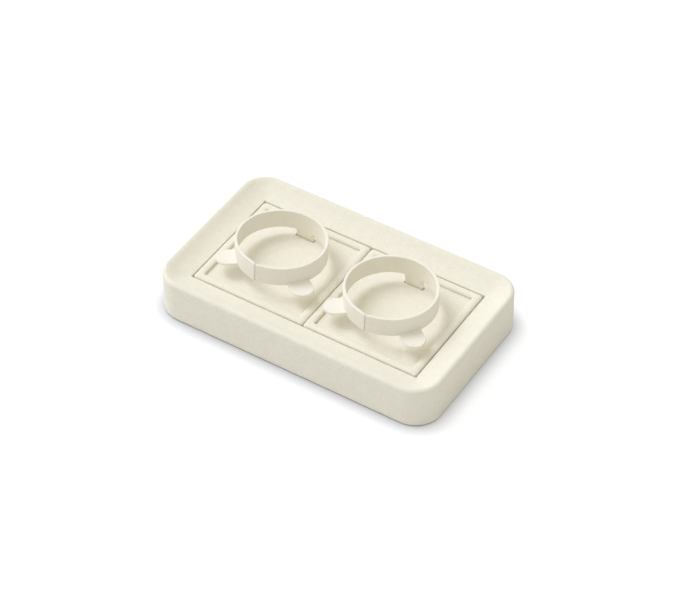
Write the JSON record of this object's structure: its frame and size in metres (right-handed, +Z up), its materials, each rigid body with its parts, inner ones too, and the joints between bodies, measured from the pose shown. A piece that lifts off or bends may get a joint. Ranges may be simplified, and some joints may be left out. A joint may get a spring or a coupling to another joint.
{
  "type": "jewelry display stand",
  "caption": "Suede-covered display tray with a dished rim, lift-out square inserts and springy band holders that plug into a slit, for showing bangles.",
  "frame": {"origin": "middle of the tray's underside, on the surface that it stands on", "axes": "+X along the tray, +Y to the back where the holders plug in, +Z up"},
  "size_m": [0.196, 0.1162, 0.0439],
  "materials": {
    "suede": "matt short-nap microfibre",
    "board": "raw fibreboard",
    "strip": "matt sheet plastic",
    "underside": "matt brushed cloth"
  },
  "bodies": {
    "tray": {"rim_core": "board", "rim_cover": "suede", "base_board": "board", "well_lining": "suede", "base_sheet": "underside"},
    "left_insert": {"left_insert_base": "board", "left_insert_border": "board", "left_insert_border_skin": "suede", "left_insert_panel": "board", "left_insert_panel_skin": "suede"},
    "left_holder": {"left_band_core": "strip", "left_band_cover": "suede", "left_band_lining": "suede"},
    "right_insert": {"right_insert_base": "board", "right_insert_border": "board", "right_insert_border_skin": "suede", "right_insert_panel": "board", "right_insert_panel_skin": "suede"},
    "right_holder": {"right_band_core": "strip", "right_band_cover": "suede", "right_band_lining": "suede"}
  },
  "joints": [
    {"name": "left_insert_lift", "type": "slide", "parent": "tray", "child": "left_insert", "axis": [0, 0, 1], "range_m": [0, 0.04]},
    {"name": "left_holder_pull", "type": "slide", "parent": "left_insert", "child": "left_holder", "axis": [0, 0.0698, 0.9976], "range_m": [-0.0025, 0.02]},
    {"name": "right_insert_lift", "type": "slide", "parent": "tray", "child": "right_insert", "axis": [0, 0, 1], "range_m": [0, 0.04]},
    {"name": "right_holder_pull", "type": "slide", "parent": "right_insert", "child": "right_holder", "axis": [0, 0.0366, 0.9993], "range_m": [-0.0045, 0.02]}
  ]
}
